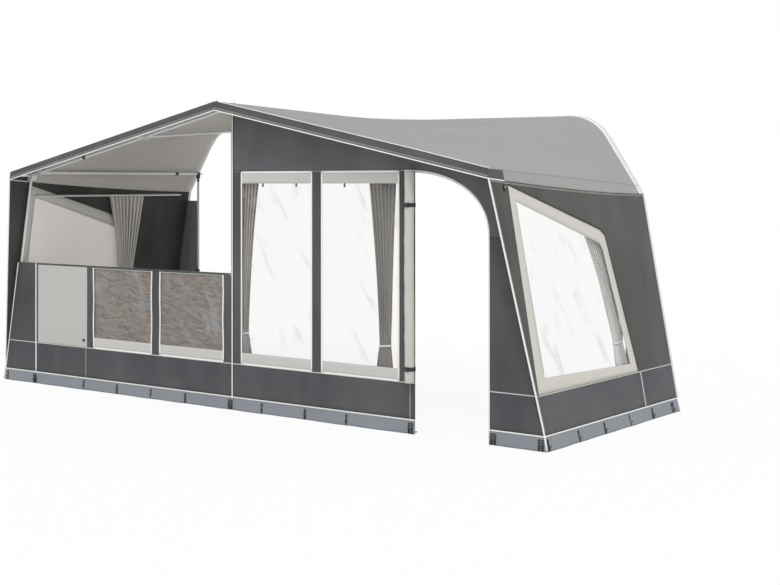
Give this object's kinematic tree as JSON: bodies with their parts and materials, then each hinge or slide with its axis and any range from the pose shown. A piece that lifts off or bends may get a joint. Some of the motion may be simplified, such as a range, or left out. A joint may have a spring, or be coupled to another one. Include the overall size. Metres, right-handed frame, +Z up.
{
  "type": "caravan awning",
  "caption": "Porch awning for a caravan: pitched cloth roof on a telescopic tube frame, zipped front with windows, rolled door, veranda opening, side windows and mud flap",
  "frame": {"origin": "on the ground, in the middle of the awning's box", "axes": "+X to the right seen from outside the front, +Y from the canopy to the caravan, +Z up"},
  "size_m": [6.022, 2.4, 2.5741],
  "materials": {
    "roof_cloth": "coated grey woven cloth",
    "dark_cloth": "coated anthracite woven cloth",
    "side_cloth": "coated dark grey woven cloth",
    "flap_pvc": "grey-blue PVC sheet",
    "white_trim": "white welt",
    "taupe_cloth": "matt taupe cloth",
    "pale_border": "pale beige coated cloth",
    "curtain_cloth": "thin printed cloth",
    "window_film": "clear film with a pale border",
    "steel_tube": "grey satin tube",
    "black_plastic": "black plastic"
  },
  "bodies": {
    "root": {"canopy_fascia": "dark_cloth", "door_roll": "pale_border", "door_strap_lower": "black_plastic", "door_strap_upper": "black_plastic", "front_header": "dark_cloth", "front_panel_corner": "dark_cloth", "front_panel_left": "dark_cloth", "front_panel_right": "dark_cloth", "front_window_1": "window_film", "front_window_2": "window_film", "gable_pole_left": "steel_tube", "gable_pole_right": "steel_tube", "keder": "white_trim", "leg_upper_centre": "steel_tube", "leg_upper_corner_left": "steel_tube", "leg_upper_corner_right": "steel_tube", "leg_upper_door": "steel_tube", "leg_upper_rear_left": "steel_tube", "leg_upper_rear_right": "steel_tube", "mud_flap_left": "flap_pvc", "mud_flap_right": "flap_pvc", "peak_connector": "black_plastic", "roof": "roof_cloth", "roof_pole_front_eave_left": "steel_tube", "roof_pole_front_eave_right": "steel_tube", "roof_pole_front_mid_left": "steel_tube", "roof_pole_front_mid_right": "steel_tube", "roof_pole_front_ridge": "steel_tube", "side_wall_left": "side_cloth", "side_wall_right": "side_cloth", "side_window_left": "window_film", "side_window_right": "window_film", "veranda_blind": "taupe_cloth", "veranda_fold": "dark_cloth", "veranda_rail": "steel_tube", "veranda_window_1": "window_film", "veranda_window_2": "window_film"},
    "leg_corner_left": {"leg_lower_corner_left": "steel_tube"},
    "leg_corner_right": {"leg_lower_corner_right": "steel_tube"},
    "leg_centre": {"leg_lower_centre": "steel_tube"},
    "leg_door": {"leg_lower_door": "steel_tube"},
    "leg_rear_left": {"leg_lower_rear_left": "steel_tube"},
    "leg_rear_right": {"leg_lower_rear_right": "steel_tube"},
    "lever_corner_left": {"clamp_lever_corner_left": "black_plastic"},
    "lever_corner_right": {"clamp_lever_corner_right": "black_plastic"},
    "lever_centre": {"clamp_lever_centre": "black_plastic"},
    "lever_door": {"clamp_lever_door": "black_plastic"},
    "lever_rear_left": {"clamp_lever_rear_left": "black_plastic"},
    "lever_rear_right": {"clamp_lever_rear_right": "black_plastic"},
    "roof_pole_eave_left": {"roof_pole_rear_eave_left": "steel_tube"},
    "roof_pole_mid_left": {"roof_pole_rear_mid_left": "steel_tube"},
    "roof_pole_ridge": {"roof_pole_rear_ridge": "steel_tube"},
    "roof_pole_mid_right": {"roof_pole_rear_mid_right": "steel_tube"},
    "roof_pole_eave_right": {"roof_pole_rear_eave_right": "steel_tube"},
    "curtain_centre": {"curtain_centre": "curtain_cloth"},
    "curtain_door": {"curtain_door": "curtain_cloth"},
    "curtain_left": {"curtain_left": "curtain_cloth"},
    "curtain_right": {"curtain_right": "curtain_cloth"},
    "zip_centre": {"zip_slider_centre": "steel_tube"},
    "zip_door": {"zip_slider_door": "steel_tube"}
  },
  "joints": [
    {"name": "leg_slide_corner_left", "type": "slide", "parent": "root", "child": "leg_corner_left", "axis": [-0.1808, 0, -0.9835], "range_m": [-0.15, 0.12]},
    {"name": "leg_slide_corner_right", "type": "slide", "parent": "root", "child": "leg_corner_right", "axis": [0.1808, 0, -0.9835], "range_m": [-0.15, 0.12]},
    {"name": "leg_slide_centre", "type": "slide", "parent": "root", "child": "leg_centre", "axis": [0, 0, -1], "range_m": [-0.15, 0.12]},
    {"name": "leg_slide_door", "type": "slide", "parent": "root", "child": "leg_door", "axis": [0, 0, -1], "range_m": [-0.15, 0.12]},
    {"name": "leg_slide_rear_left", "type": "slide", "parent": "root", "child": "leg_rear_left", "axis": [0, 0, -1], "range_m": [-0.15, 0.12]},
    {"name": "leg_slide_rear_right", "type": "slide", "parent": "root", "child": "leg_rear_right", "axis": [0, 0, -1], "range_m": [-0.15, 0.12]},
    {"name": "lever_hinge_corner_left", "type": "hinge", "parent": "root", "child": "lever_corner_left", "pos_m": [-2.80899, -0.9432, 0.95], "axis": [-0.9835, 0, 0.1808], "range_deg": [0, 100]},
    {"name": "lever_hinge_corner_right", "type": "hinge", "parent": "root", "child": "lever_corner_right", "pos_m": [2.80899, -0.9432, 0.95], "axis": [-0.9835, 0, -0.1808], "range_deg": [0, 100]},
    {"name": "lever_hinge_centre", "type": "hinge", "parent": "root", "child": "lever_centre", "pos_m": [0, -0.9432, 0.95], "axis": [-1, 0, 0], "range_deg": [0, 100]},
    {"name": "lever_hinge_door", "type": "hinge", "parent": "root", "child": "lever_door", "pos_m": [1.795, -0.9432, 0.95], "axis": [-1, 0, 0], "range_deg": [0, 100]},
    {"name": "lever_hinge_rear_left", "type": "hinge", "parent": "root", "child": "lever_rear_left", "pos_m": [-2.5, 1.1072, 0.95], "axis": [1, 0, 0], "range_deg": [0, 100]},
    {"name": "lever_hinge_rear_right", "type": "hinge", "parent": "root", "child": "lever_rear_right", "pos_m": [2.5, 1.1072, 0.95], "axis": [1, 0, 0], "range_deg": [0, 100]},
    {"name": "roof_pole_slide_eave_left", "type": "slide", "parent": "root", "child": "roof_pole_eave_left", "axis": [0, 1, 0], "range_m": [-0.25, 0.012]},
    {"name": "roof_pole_slide_mid_left", "type": "slide", "parent": "root", "child": "roof_pole_mid_left", "axis": [0, 0.9973, 0.0737], "range_m": [-0.25, 0.012]},
    {"name": "roof_pole_slide_ridge", "type": "slide", "parent": "root", "child": "roof_pole_ridge", "axis": [0, 0.9995, -0.0329], "range_m": [-0.25, 0.012]},
    {"name": "roof_pole_slide_mid_right", "type": "slide", "parent": "root", "child": "roof_pole_mid_right", "axis": [0, 0.9973, 0.0737], "range_m": [-0.25, 0.012]},
    {"name": "roof_pole_slide_eave_right", "type": "slide", "parent": "root", "child": "roof_pole_eave_right", "axis": [0, 1, 0], "range_m": [-0.25, 0.012]},
    {"name": "curtain_slide_centre", "type": "slide", "parent": "root", "child": "curtain_centre", "axis": [1, 0, 0], "range_m": [0, 0.45]},
    {"name": "curtain_slide_door", "type": "slide", "parent": "root", "child": "curtain_door", "axis": [-1, 0, 0], "range_m": [0, 0.45]},
    {"name": "curtain_slide_left", "type": "slide", "parent": "root", "child": "curtain_left", "axis": [0, -1, 0], "range_m": [0, 0.55]},
    {"name": "curtain_slide_right", "type": "slide", "parent": "root", "child": "curtain_right", "axis": [0, -1, 0], "range_m": [0, 0.55]},
    {"name": "zip_slide_centre", "type": "slide", "parent": "root", "child": "zip_centre", "axis": [0, 0, 1], "range_m": [0, 1.2]},
    {"name": "zip_slide_door", "type": "slide", "parent": "root", "child": "zip_door", "axis": [0, 0, 1], "range_m": [0, 1.25]}
  ]
}
